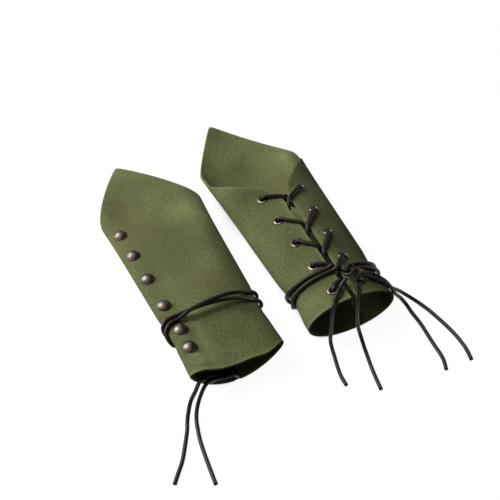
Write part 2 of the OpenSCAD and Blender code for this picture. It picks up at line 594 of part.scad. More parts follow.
module left_rivet_posts() color([0.6, 0.55, 0.5]) place(LEFT) at_rivets(LEFT) rivet_post(LEFT);
module right_shell_eyelets() color([0.62, 0.6, 0.58]) place(RIGHT) at_eyelets(RIGHT, -1) eyelet();
module right_flap_eyelets() color([0.62, 0.6, 0.58]) place(RIGHT) at_eyelets(RIGHT, 1) eyelet();
module left_shell_eyelets() color([0.62, 0.6, 0.58]) place(LEFT) at_eyelets(LEFT, -1) eyelet();
module left_flap_eyelets() color([0.62, 0.6, 0.58]) place(LEFT) at_eyelets(LEFT, 1) eyelet();
module right_shell_washers() color([0.7, 0.66, 0.5]) place(RIGHT) at_eyelets(RIGHT, -1) washer();
module right_flap_washers() color([0.7, 0.66, 0.5]) place(RIGHT) at_eyelets(RIGHT, 1) washer();
module left_shell_washers() color([0.7, 0.66, 0.5]) place(LEFT) at_eyelets(LEFT, -1) washer();
module left_flap_washers() color([0.7, 0.66, 0.5]) place(LEFT) at_eyelets(LEFT, 1) washer();
module right_lace() color([0.2, 0.13, 0.1]) place(RIGHT) tube(lace_path(RIGHT), cord_r, 8);
module left_lace() color([0.2, 0.13, 0.1]) place(LEFT) difference() {
    tube(lace_path(LEFT), cord_r, 8);
    translate([-side_half_width, -side_length, -side_length])
        cube([2 * side_half_width, 3 * side_length, side_length]);
}
module right_wrist_wrap() color([0.25, 0.16, 0.12]) place(RIGHT) tube(wind_path(RIGHT), cord_r, 6);
module left_wrist_wrap() color([0.25, 0.16, 0.12]) place(LEFT) tube(wind_path(LEFT), cord_r, 6);
module right_knot() color([0.3, 0.2, 0.15]) place(RIGHT) knot(RIGHT);
module right_tail_a() color([0.3, 0.22, 0.2]) place(RIGHT) tail(RIGHT, tail_a_on, tail_a_off);
module right_tail_b() color([0.3, 0.22, 0.2]) place(RIGHT) tail(RIGHT, tail_b_on, tail_b_off);
module right_tail_c() color([0.3, 0.22, 0.2]) place(RIGHT) tail(RIGHT, tail_c_on, tail_c_off);
module right_tail_d() color([0.3, 0.22, 0.2]) place(RIGHT) tail(RIGHT, tail_d_on, tail_d_off);
module left_tail_a() color([0.3, 0.22, 0.2]) place(LEFT) tail(LEFT, tail_e_on, tail_e_off);
module left_tail_b() color([0.3, 0.22, 0.2]) place(LEFT) tail(LEFT, tail_f_on, tail_f_off);

right_leather_shell();
right_leather_flap();
right_rivet_domes();
right_rivet_posts();
right_shell_eyelets();
right_flap_eyelets();
right_shell_washers();
right_flap_washers();
right_lace();
right_wrist_wrap();
right_knot();
right_tail_a();
right_tail_b();
right_tail_c();
right_tail_d();
left_leather_shell();
left_leather_flap();
left_rivet_domes();
left_rivet_posts();
left_shell_eyelets();
left_flap_eyelets();
left_shell_washers();
left_flap_washers();
left_lace();
left_wrist_wrap();
left_tail_a();
left_tail_b();
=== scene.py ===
# A pair of green suede forearm bracers. The right one lies on its back with the lacing up, and the left one
# on its lacing with the domed rivets up. Sizes are millimetres until a mesh is made, as in the part's source
import math
import random

import bmesh
import bpy
from mathutils import Matrix, Vector, noise


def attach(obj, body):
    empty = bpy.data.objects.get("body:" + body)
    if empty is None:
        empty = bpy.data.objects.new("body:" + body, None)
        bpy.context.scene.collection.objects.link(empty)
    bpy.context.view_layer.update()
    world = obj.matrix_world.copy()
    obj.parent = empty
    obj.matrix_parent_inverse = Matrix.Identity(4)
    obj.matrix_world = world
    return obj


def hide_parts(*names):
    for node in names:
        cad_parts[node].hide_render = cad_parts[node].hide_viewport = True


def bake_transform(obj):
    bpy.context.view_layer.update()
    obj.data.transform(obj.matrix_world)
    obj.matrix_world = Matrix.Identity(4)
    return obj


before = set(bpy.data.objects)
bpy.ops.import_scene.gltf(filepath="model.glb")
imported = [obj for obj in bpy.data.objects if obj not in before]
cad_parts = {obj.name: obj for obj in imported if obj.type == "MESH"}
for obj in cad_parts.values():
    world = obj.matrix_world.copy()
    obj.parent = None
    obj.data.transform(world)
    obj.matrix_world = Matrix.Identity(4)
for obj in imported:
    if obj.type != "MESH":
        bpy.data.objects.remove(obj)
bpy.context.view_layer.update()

MM = 0.001
RIGHT = 0
LEFT = 1
SIDE = ("right", "left")


# Camera
# The photograph was taken with a short telephoto lens from the left of the wrist ends, well above them
PICTURE_WIDTH = 500
FOCAL_PIXELS = 910.8
SENSOR = 36
aim = Vector((0.01548, -0.02247, 0.0))
camera_azimuth = math.radians(-24.74)
camera_elevation = math.radians(46.95)
camera_reach = 0.7987
back = Vector((
    math.sin(camera_azimuth) * math.cos(camera_elevation),
    -math.cos(camera_azimuth) * math.cos(camera_elevation),
    math.sin(camera_elevation),
))
camera_data = bpy.data.cameras.new("camera")
camera_data.sensor_width = SENSOR
camera_data.lens = SENSOR * FOCAL_PIXELS / PICTURE_WIDTH
camera = bpy.data.objects.new("camera", camera_data)
bpy.context.scene.collection.objects.link(camera)
camera.location = aim + back * camera_reach
camera.rotation_euler = back.to_track_quat("Z", "Y").to_euler()
bpy.context.scene.camera = camera


# The leather's own shape, the same as in the part's source, as angle round the bracer and way from the wrist
LEATHER = 2.0
HALF = LEATHER / 2
CORD_R = 1.6
HAIR = 0.1
POINT_LENGTH = (283, 260)
SIDE_LENGTH = 182
LACED = 119
CORNER_RISE = 9.5
GAP_TOP = LACED + CORNER_RISE
CORNER_REACH = 4
# How far past the palm's edge the back's edge meets the folds, and over what share of the way
CORNER_STEP = (12, 6)
CORNER_SPAN = (0.06, 0.1)
# Bow of the cut edges on the way to the left fold and to the right fold
PALM_BOW = (0.1, 0.45)
BACK_BOW = ((0.65, 0.5), (0.77, 0.95))
WRIST_HALF_WIDTH = 36
SIDE_HALF_WIDTH = 44.6
WRIST_FLARE = 1.5
WRIST_FLARE_REACH = 14
SIDE_FLARE_START = 130
WAIST = 1.2
WAIST_REACH = 16
TIP_ANGLE = (266.8, 260.8)
TIP_ROUND = 0.025
WRIST_H = (20.4, 9.8)
SIDE_H = (21.5, 9)
WRIST_DISH = (0, 15.5)
SIDE_DISH = (0, 4)
# At the wrist the left part of the left bracer's back rises and its right part sinks
WRIST_RISE = (0, 2.6)
WRIST_SINK = (0, 4.6)
WAVE_END = 150
WAVE_FADE = 1.5
WAVE_POWER = 4
DROOP = (0, 11)
WRAP_MIDDLE = (31, 44)
# The right bracer's back is raised where the cord passes under it
WRAP_ROOM = 0.9
LIFT = (2 * CORD_R + HAIR + WRAP_ROOM, 0)
LIFT_REACH = 20
FLANGE = 0.9
WASHER = 0.5
HOLLOW_CLEAR = 0.35
ROLL_HEIGHT = 0.4
# Height of a cord's middle over the middle of the leather: on it, on an eyelet's rim and inside the bracer
LIE = HALF + CORD_R + HAIR
RIM = HALF + FLANGE + CORD_R + HAIR
UNDER = HALF + CORD_R + 2 * HAIR + WASHER + HOLLOW_CLEAR + ROLL_HEIGHT
# The left bracer stands on its lacing, which is flat there by a tenth of the cord
FLAT_CUT = 0.32
LACING_PAST = 0.3
STAND = (HALF, RIM + CORD_R - FLAT_CUT - LACING_PAST)
SPACING = 103
SETBACK = 8.5
MIDDLE_Y = (POINT_LENGTH[RIGHT] - SETBACK) / 2
PLACE = (Vector((SPACING / 2, -MIDDLE_Y, 0)), Vector((-SPACING / 2, -MIDDLE_Y - SETBACK, 0)))
PALM_UP = (1, -1)
ROWS = 5
FIRST_ROW = 13
ROW_PITCH = 28.8
REACH_FIRST = 12
REACH_LAST = 18
GAP_WRIST = 2.3
GAP_END = 3.6


def degrees_cos(a):
    return math.cos(math.radians(a))


def degrees_sin(a):
    return math.sin(math.radians(a))


def half_width(b, y):
    past = max(0, y - SIDE_FLARE_START) / (SIDE_LENGTH - SIDE_FLARE_START)
    flare = past * past * ((SIDE_LENGTH / y) ** 4 if y > SIDE_LENGTH else 1)
    waist = WAIST * math.exp(-((y - WRAP_MIDDLE[b]) / WAIST_REACH) ** 4)
    wrist = WRIST_FLARE * math.exp(-(y / WRIST_FLARE_REACH) ** 2)
    return WRIST_HALF_WIDTH + (SIDE_HALF_WIDTH - WRIST_HALF_WIDTH) * y / SIDE_LENGTH + wrist + flare - waist


def half_height(b, y):
    return WRIST_H[b] + (SIDE_H[b] - WRIST_H[b]) * min(1, y / SIDE_LENGTH)


def dish(b, y):
    return WRIST_DISH[b] + (SIDE_DISH[b] - WRIST_DISH[b]) * min(1, y / SIDE_LENGTH)


def back_wave(b, angle, y):
    if degrees_sin(angle) >= 0:
        return 0
    most = WRIST_RISE[b] if degrees_cos(angle) < 0 else -WRIST_SINK[b]
    return most * max(0, 1 - y / WAVE_END) ** WAVE_FADE * degrees_sin(2 * angle) ** WAVE_POWER


def level(b, angle, y):
    s = PALM_UP[b] * degrees_sin(angle)
    return half_height(b, y) * s - dish(b, y) * s * s + back_wave(b, angle, y)


def middle(b, angle, y):
    s = PALM_UP[b] * degrees_sin(angle)
    past = max(0, y - SIDE_LENGTH) / (POINT_LENGTH[b] - SIDE_LENGTH)
    lifted = LIFT[b] * ((1 - s) / 2) ** 2 * math.exp(-((y - WRAP_MIDDLE[b]) / LIFT_REACH) ** 2)
    fold = STAND[b] + half_height(b, y) + dish(b, y)
    return Vector((
        half_width(b, y) * degrees_cos(angle),
        y,
        fold + level(b, angle, y) + lifted - DROOP[b] * past * past,
    ))


def outward(b, angle, y):
    p = middle(b, angle + 1, y) - middle(b, angle - 1, y)
    return (PALM_UP[b] * Vector((p.z, 0, -p.x))).normalized()


def at(b, angle, y, over):
    return middle(b, angle, y) + over * outward(b, angle, y)


def palm_angle(b, x, y):
    return math.degrees(math.acos(max(-1, min(1, x / half_width(b, y)))))


def palm(b, x, y, over):
    return at(b, palm_angle(b, x, y), y, over)


def gap_half(y):
    return GAP_WRIST + (GAP_END - GAP_WRIST) * y / LACED


def gap_angle(b, y):
    return math.degrees(math.asin(gap_half(y) / half_width(b, y)))


def around(m, bow):
    return (1 - bow) * m + bow * degrees_sin(90 * m)


def rounded(u):
    return (math.sqrt(u * u + TIP_ROUND ** 2) - TIP_ROUND) / (math.sqrt(1 + TIP_ROUND ** 2) - TIP_ROUND)


def palm_cut(b, angle):
    m = abs(angle - 90) / 90
    x = max(0, abs(half_width(b, LACED) * degrees_cos(angle)) - GAP_END)
    bow = PALM_BOW[0 if angle > 90 else 1]
    corner = CORNER_RISE * math.exp(-x / CORNER_REACH)
    return GAP_TOP + (SIDE_LENGTH - GAP_TOP) * around(m, bow) - corner


def back_cut(b, angle):
    t = TIP_ANGLE[b]
    m = (angle - t) / (360 - t) if angle > t else (t - angle) / (t - 180)
    fall = rounded(around(m, BACK_BOW[b][1 if angle > t else 0]))
    step = CORNER_STEP[b] * math.exp((m - 1) / CORNER_SPAN[b])
    return POINT_LENGTH[b] - (POINT_LENGTH[b] - SIDE_LENGTH - CORNER_STEP[b]) * fall - step


def cut_at(b, angle):
    return back_cut(b, angle) if angle > 180 else palm_cut(b, angle)


def in_row(b, p):
    return (p + PLACE[b]) * MM


# Building blocks of the materials
def to_linear(hex_colour):
    parts = [int(hex_colour[i:i + 2], 16) / 255 for i in (1, 3, 5)]
    return tuple(c / 12.92 if c <= 0.04045 else ((c + 0.055) / 1.055) ** 2.4 for c in parts) + (1.0,)


def put(tree, kind, links=None, stops=(), **settings):
    # Adds a node with its settings, its links or plain values, and the stops of a colour ramp
    node = tree.nodes.new(kind)
    for key, value in settings.items():
        setattr(node, key, value)
    for key, value in (links or {}).items():
        socket = node.inputs[key]
        if isinstance(value, bpy.types.NodeSocket):
            tree.links.new(value, socket)
        else:
            socket.default_value = value
    if stops:
        elements = node.color_ramp.elements
        while len(elements) < len(stops):
            elements.new(0.5)
        for element, (place, colour) in zip(elements, stops):
            element.position = place
            element.color = to_linear(colour)
    return node


def blank(name):
    material = bpy.data.materials.new(name)
    material.use_nodes = True
    tree = material.node_tree
    tree.nodes.clear()
    return material, tree


def weighed(tree, parts):
    # Sum of patterns, each with its weight
    total = 0.0
    for value, weight in parts:
        total = put(tree, "ShaderNodeMath", {0: value, 1: weight, 2: total},
                    operation="MULTIPLY_ADD").outputs[0]
    return total


def per_metre(size):
    # Scale of a pattern on Object coordinates whose grains are so many millimetres wide
    return 1 / (size * MM)


# Waxed leather lace, cut narrow and rolled: dark brown, a soft waxy sheen on the lit side, and scuffs about
# half a millimetre wide, drawn out along its length to 3 mm. Its map runs from 0 to 1 round the lace, and in
# centimetres along it. The width of a pore is in millimetres
STREAKS_ROUND = 18.0
STREAKS_PER_CM = 3.2
PORE = 0.77


def waxed_lace(name, dark, plain, scuff, roughness):
    material, tree = blank(name)
    along = put(tree, "ShaderNodeUVMap", uv_map="along_cord").outputs["UV"]
    stretched = put(tree, "ShaderNodeMapping", {
        "Vector": along, "Scale": (STREAKS_ROUND, STREAKS_PER_CM, 1.0)}).outputs[0]
    streaks = put(tree, "ShaderNodeTexNoise", {
        "Vector": stretched, "Scale": 1.0, "Detail": 3.0, "Roughness": 0.55}).outputs["Fac"]
    place = put(tree, "ShaderNodeTexCoord").outputs["Object"]
    pores = put(tree, "ShaderNodeTexNoise", {
        "Vector": place, "Scale": per_metre(PORE), "Detail": 2.0, "Roughness": 0.5}).outputs["Fac"]
    mixed = weighed(tree, [(streaks, 0.88), (pores, 0.12)])
    colour = put(tree, "ShaderNodeValToRGB", {"Fac": mixed},
                 stops=((0.36, dark), (0.52, plain), (0.68, scuff))).outputs["Color"]
    bump = put(tree, "ShaderNodeBump", {"Strength": 0.3, "Distance": 0.0002, "Height": mixed})
    shader = put(tree, "ShaderNodeBsdfPrincipled", {
        "Base Color": colour, "Roughness": roughness, "Specular IOR Level": 0.3,
        "Normal": bump.outputs["Normal"]})
    put(tree, "ShaderNodeOutputMaterial", {"Surface": shader.outputs[0]})
    return material


lace_leather = waxed_lace("waxed_brown_lace", "#120c09", "#20160f", "#453428", 0.42)
lace_end = waxed_lace("lace_cut_end", "#30241b", "#3d2e23", "#4d3b2e", 0.8)


# Cords
CORD_SIDES = 16
CORD_STEP = 1.3
# How many times as high and as wide a lace is as a round cord
LACE_SHAPE = (0.94, 1.14)
ROUND = (1.0, 1.0)
# By what share a cord's radius changes, and how fast from ring to ring
UNEVEN = 0.035
UNEVEN_PACE = 0.11
UNEVEN_PHASES = 20
LACE_SEED = 3
WRAP_SEED = 7
KNOT_SEED = 11
TAIL_SEED = 20
CENTIMETRE = 10


def catmull(p0, p1, p2, p3, u):
    turn = (2 * p0 - 5 * p1 + 4 * p2 - p3) * u * u
    return 0.5 * (2 * p1 + (p2 - p0) * u + turn + (3 * p1 - p0 - 3 * p2 + p3) * u ** 3)


def smooth_line(points, step):
    fine = []
    for i in range(len(points) - 1):
        p1, p2 = points[i], points[i + 1]
        p0 = points[i - 1] if i else p1 + (p1 - p2)
        p3 = points[i + 2] if i + 2 < len(points) else p2 + (p2 - p1)
        count = max(1, math.ceil((p2 - p1).length / step))
        fine += [catmull(p0, p1, p2, p3, k / count) for k in range(count)]
    return fine + [points[-1]]


def cord_rings(line, radius, shape, closed, phase):
    # One ring of points for each place of the line, a little uneven
    count = len(line)
    rings = []
    normal = None
    for i, p in enumerate(line):
        if closed:
            t = (line[(i + 1) % count] - line[i - 1]).normalized()
            normal = Vector((0, 0, 1))
        else:
            t = (line[min(i + 1, count - 1)] - line[max(i - 1, 0)]).normalized()
            start = Vector((0, 0, 1)) if abs(t.z) < 0.9 else Vector((1, 0, 0))
            normal = start if normal is None else normal
        normal = (normal - t * normal.dot(t)).normalized()
        other = t.cross(normal)
        ring = []
        for k in range(CORD_SIDES):
            a = 2 * math.pi * k / CORD_SIDES
            wave = noise.noise(Vector((i * UNEVEN_PACE + phase, math.cos(a), math.sin(a))))
            r = radius * (1 + UNEVEN * wave)
            ring.append(p + r * (shape[0] * math.cos(a) * normal + shape[1] * math.sin(a) * other))
        rings.append(ring)
    return rings


def cord_skin(line, closed):
    # The faces between the rings of points, and where each of their corners lies on the cord's map
    count = len(line)
    length = [0.0]
    for i in range(1, count + 1):
        length.append(length[-1] + (line[i % count] - line[i - 1]).length / CENTIMETRE)
    faces = []
    maps = []
    for i in range(count if closed else count - 1):
        here = i * CORD_SIDES
        following = (i + 1) % count * CORD_SIDES
        for k in range(CORD_SIDES):
            m = (k + 1) % CORD_SIDES
            faces.append((here + k, following + k, following + m, here + m))
            u0 = k / CORD_SIDES
            u1 = (k + 1) / CORD_SIDES
            maps += [(u0, length[i]), (u0, length[i + 1]), (u1, length[i + 1]), (u1, length[i])]
    return faces, maps


def cord_piece(name, line, radius, seed, shape=ROUND, closed=False):
    phase = random.Random(seed).uniform(0, UNEVEN_PHASES)
    rings = cord_rings(line, radius, shape, closed, phase)
    # Flat where it rests on the floor
    vertices = [Vector((p.x, p.y, max(p.z, 0))) * MM for ring in rings for p in ring]
    faces, maps = cord_skin(line, closed)
    caps = []
    if not closed:
        last = (len(line) - 1) * CORD_SIDES
        caps.append(tuple(range(CORD_SIDES)))
        caps.append(tuple(reversed(range(last, last + CORD_SIDES))))
    mesh = bpy.data.meshes.new(name)
    mesh.from_pydata(vertices, [], faces + caps)
    spots = maps + [(0.5, 0.5)] * CORD_SIDES * len(caps)
    uv = mesh.uv_layers.new(name="along_cord")
    for loop, spot in zip(uv.data, spots):
        loop.uv = spot
    for polygon in mesh.polygons:
        polygon.use_smooth = polygon.index < len(faces)
        polygon.material_index = 0 if polygon.index < len(faces) else 1
    mesh.materials.append(lace_leather)
    mesh.materials.append(lace_end)
    work = bmesh.new()
    work.from_mesh(mesh)
    bmesh.ops.recalc_face_normals(work, faces=work.faces)
    work.to_mesh(mesh)
    work.free()
    obj = bpy.data.objects.new(name, mesh)
    bpy.context.scene.collection.objects.link(obj)
    return obj


def shifted(b, line):
    return [p + PLACE[b] for p in line]


def row_y(i):
    return FIRST_ROW + ROW_PITCH * i


def reach(i):
    return REACH_FIRST + (REACH_LAST - REACH_FIRST) * i / (ROWS - 1)


# The lace. It rises through an eyelet, by the way toward the gap, the way down and the height
RISE = ((0.1, 0, -LIE - 0.3), (0, 0, -0.4), (0.1, 0, 1.7), (1.7, 0.5, RIM + 0.1))
# Then a leg lies over the leather, drops through the gap and runs under the other half. The numbers are the
# share of the way to the gap or across, the way down, and the height
LOW_LEG = (
    (0.34, 2.2, RIM - 0.1), (0.62, 4.2, LIE + 0.45), (0.88, 6.8, 2.3), (1, 9, -0.2), (1.12, 11.2, -2.4),
)
HIGH_LEG = (
    ((0.3, 3, RIM + 0.1), (0.6, 7, RIM), (0.9, 11.2, LIE + 0.55), (1.02, 14.6, 1.7), (1.05, 17, -0.6),
     (1.12, 19, -3)),
    ((0.3, 2.8, RIM + 0.1), (0.6, 6.2, RIM), (0.9, 10.4, LIE + 0.5), (1.02, 13.2, 1.6), (1.05, 14.8, -0.6),
     (1.13, 16.2, -2.8)),
)
LOW_UNDER = ((0.34, 0.53, 0), (0.72, 0.78, 0), (0.93, 0.97, 0.1))
HIGH_UNDER = ((0.34, 0.76, 0), (0.72, 0.87, 0), (0.93, 0.97, 0.1))
# In the middle rows of the right bracer the legs run more steeply
STEEP_LOW_LEG = (
    (0.34, 4.6, RIM - 0.1), (0.62, 8.6, LIE + 0.45), (0.88, 12.4, 2.3), (1, 14.6, -0.2), (1.12, 16.8, -2.4),
)
STEEP_HIGH_LEG = (
    (0.3, 5.6, RIM + 0.1), (0.6, 11.4, RIM), (0.9, 17, LIE + 0.55), (1.02, 20.4, 1.7), (1.05, 22.4, -0.6),
    (1.12, 24, -3),
)
STEEP_LOW_UNDER = ((0.34, 0.66, 0), (0.72, 0.84, 0), (0.93, 0.97, 0.1))
STEEP_HIGH_UNDER = ((0.34, 0.88, 0), (0.72, 0.94, 0), (0.93, 0.985, 0.1))
BAR = ((-0.8, 0, 0.1), (-0.35, 1, 0), (0.35, 1, 0), (0.8, 0, 0.1))
LACE_END_MINUS = (
    ((-9, 15, RIM + 0.1), (-5, 17, RIM), (-2.4, 18.2, RIM + 0.6)),
    ((-8.5, 11, RIM + 0.1), (-4.5, 9.4, LIE + 0.5), (-1.6, 8.7, 2.6), (-0.6, 8.4, 1.1), (-0.5, 8.2, -1.2),
     (-1.4, 8, -2.6), (-3.4, 7.8, -LIE - 0.1)),
)
LACE_END_PLUS = (
    ((10.6, 15.6, RIM + 0.8),),
    ((8.5, 8.5, RIM + 0.1), (4.5, 5.2, LIE + 0.5), (1.6, 4.2, 2.6), (0.4, 3.8, 0.9), (-0.3, 3.6, -1.1),
     (-1.5, 3.5, -2.6), (-3.4, 3.4, -LIE - 0.1)),
)


def rise(b, side, i):
    return [palm(b, side * reach(i) - side * p[0], row_y(i) - p[1], p[2]) for p in RISE]


def leg(b, side, i):
    steep = b == RIGHT and 1 < i < ROWS - 1
    if side < 0:
        shape = STEEP_LOW_LEG if steep else LOW_LEG
        under = STEEP_LOW_UNDER if steep else LOW_UNDER
    else:
        shape = STEEP_HIGH_LEG if steep else HIGH_LEG[b]
        under = STEEP_HIGH_UNDER if steep else HIGH_UNDER
    x = side * reach(i)
    y = row_y(i)
    far_x = -side * reach(i - 1)
    far_y = row_y(i - 1)
    over_run = [palm(b, x * (1 - p[0]), y - p[1], p[2]) for p in shape]
    return over_run + [palm(b, far_x * p[0], y + (far_y - y) * p[1], p[2] - UNDER) for p in under]


def strand(b, side, i):
    return rise(b, side, i) + (leg(b, side, i) + strand(b, -side, i - 1) if i > 0 else [])


def lace_line(b):
    last = ROWS - 1
    bar = [palm(b, reach(last) * p[0], row_y(last) - p[1], p[2] - UNDER) for p in BAR]
    minus = [palm(b, *p) for p in LACE_END_MINUS[b]]
    plus = [palm(b, *p) for p in LACE_END_PLUS[b]]
    return minus[::-1] + strand(b, -1, last)[::-1] + bar + strand(b, 1, last) + plus


# The cord wound twice round each bracer, as [angle, distance from the wrist edge, extra height]
WIND = (
    ((91.5, 32.9, 2.6), (94, 32.9, 2.2), (97, 32.9, 1), (102, 33.1, 0), (135, 34, 0), (160, 35, 0),
     (180, 36.6, 0), (219, 36.1, 0.1), (270, 35.8, 0.3), (315, 34.5, 0.2), (360, 32.5, 0), (405, 30, 0),
     (430, 29.2, 0), (440.6, 28.9, 0.1), (443, 28.9, 0.9), (445.3, 28.8, 2.2), (446.9, 28.8, 3.1),
     (448.4, 28.8, 3.6), (450, 28.9, 3.3), (452.4, 28.9, 1.6), (454.7, 29, 0.4), (460, 29.1, 0),
     (475, 29.3, 0), (500, 29.4, 0), (520, 28.6, 0), (540, 26.4, 0), (555, 28.4, 0), (567, 31.2, 0),
     (579, 32.4, 0.1), (600, 31.6, 0.2), (630, 29.6, 0.3), (675, 27, 0.2), (720, 25.5, 0), (765, 24.9, 0),
     (790, 24.6, 0), (797, 24.2, 0.1)),
    ((89.8, 45.1, -6.2), (90, 45.1, -4.1), (91, 45.1, -2.1), (92.8, 45.1, -0.4), (95.5, 45.1, 0),
     (98, 45.1, 0.1), (102.5, 45.2, 0.9), (112, 45.4, 1.5), (118, 45.7, 2.6), (125, 46.2, 3.7),
     (130, 46.6, 4), (136, 46.8, 3.9), (142, 47, 2.9), (149, 47.2, 0.6), (156, 47.4, 0), (165, 47.8, 0),
     (180, 50.6, 0), (192, 54.4, 0), (205, 56.4, 0), (225, 57.4, 0), (250, 58.8, 0), (270, 59, 0),
     (290, 57.4, 0), (315, 54, 0), (340, 48, 0), (360, 42.8, 0), (380, 44.6, 0), (400, 46.8, 0),
     (415, 48.2, 0), (430, 48.8, 0), (450, 48.8, 0), (470, 48.8, 0), (478, 48.6, 0), (485, 47.8, 0),
     (490, 46.8, 0), (496, 45.4, 0), (502, 43.2, 0), (510, 40.2, 0), (518, 38.8, 0), (526, 39.6, 0),
     (540, 44.4, 0), (550, 48.2, 0), (562, 51.2, 0), (575, 52.6, 0), (585, 53.4, 0.3), (600, 55.6, 2.7),
     (610, 56.8, 3.4), (630, 58.2, 3.9), (650, 59.2, 3.6), (675, 59.6, 0.6), (700, 56.8, 0),
     (720, 52.6, 0), (735, 52.5, 0), (765, 52.5, 0), (800, 52.5, 0), (804.5, 52.5, 0),
     (807.2, 52.5, -0.4), (808.6, 52.5, -2.1), (809.1, 52.4, -4.1), (809.2, 52.3, -4.9)),
)
WIND_LIE = LIE + 0.25
FOLD_NEAR = 0.36
FOLD_STEP = 1.2
WIDE_STEP = 2.5
CRESTS = (207, 348)


def eased(points, i, u, k):
    after = points[min(len(points) - 1, i + 2)][k]
    return catmull(points[max(0, i - 1)][k], points[i][k], points[i + 1][k], after, u)


def float_over(b, angle, y):
    # On the left bracer's dished back the cord runs straight from one crest to the other
    a = angle % 360
    if dish(b, y) <= 0 or not CRESTS[0] < a < CRESTS[1]:
        return 0
    first, second = (level(b, crest, y) for crest in CRESTS)
    first_x, second_x = (degrees_cos(crest) for crest in CRESTS)
    way = (degrees_cos(a) - first_x) / (second_x - first_x)
    return max(0, first + (second - first) * way - level(b, a, y))


def wind_line(b):
    points = WIND[b]
    line = []
    for i in range(len(points) - 1):
        turn = points[i + 1][0] - points[i][0]
        folded = abs(degrees_sin(points[i][0] + turn / 2)) < FOLD_NEAR
        count = max(1, math.ceil(turn / (FOLD_STEP if folded else WIDE_STEP)))
        for k in range(count + (1 if i == len(points) - 2 else 0)):
            angle = points[i][0] + turn * k / count
            y = eased(points, i, k / count, 1)
            p = at(b, angle % 360, y, WIND_LIE + eased(points, i, k / count, 2))
            p.z += float_over(b, angle, y)
            line.append(p)
    return line


for b in (RIGHT, LEFT):
    line = shifted(b, smooth_line(lace_line(b), CORD_STEP))
    lace = cord_piece(SIDE[b] + "_lace_cord", line, CORD_R, LACE_SEED + b, shape=LACE_SHAPE)
    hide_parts(SIDE[b] + "_lace")
    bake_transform(lace)
    wrap = cord_piece(SIDE[b] + "_wrist_cord", shifted(b, wind_line(b)), CORD_R, WRAP_SEED + b)
    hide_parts(SIDE[b] + "_wrist_wrap")
    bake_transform(wrap)


# The knot: one slightly thinner cord in a three lobed loop over the gap
KNOT_CORD_R = CORD_R * 0.875
KNOT_RING = 3.5
KNOT_SWING = 1.6
KNOT_HEIGHT = KNOT_SWING * 1.03
KNOT_PLACE = (5.5, 21)
KNOT_OVER = LIE + CORD_R + HAIR + KNOT_SWING + KNOT_CORD_R + 0.2
KNOT_RINGS = 120


def knot_line(b):
    heart = palm(b, *KNOT_PLACE, KNOT_OVER)
    n = outward(b, palm_angle(b, *KNOT_PLACE), KNOT_PLACE[1])
    tilt = Matrix.Rotation(math.atan2(n.x, n.z), 3, "Y")
    line = []
    for i in range(KNOT_RINGS):
        a = 2 * math.pi * i / KNOT_RINGS
        r = KNOT_RING + KNOT_SWING * math.cos(3 * a)
        spot = Vector((r * math.cos(2 * a), r * math.sin(2 * a), KNOT_HEIGHT * math.sin(3 * a)))
        line.append(heart + tilt @ spot)
    return line


knot = cord_piece("right_knot_cord", shifted(RIGHT, knot_line(RIGHT)), KNOT_CORD_R, KNOT_SEED, closed=True)
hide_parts("right_knot")
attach(knot, "right_flap")


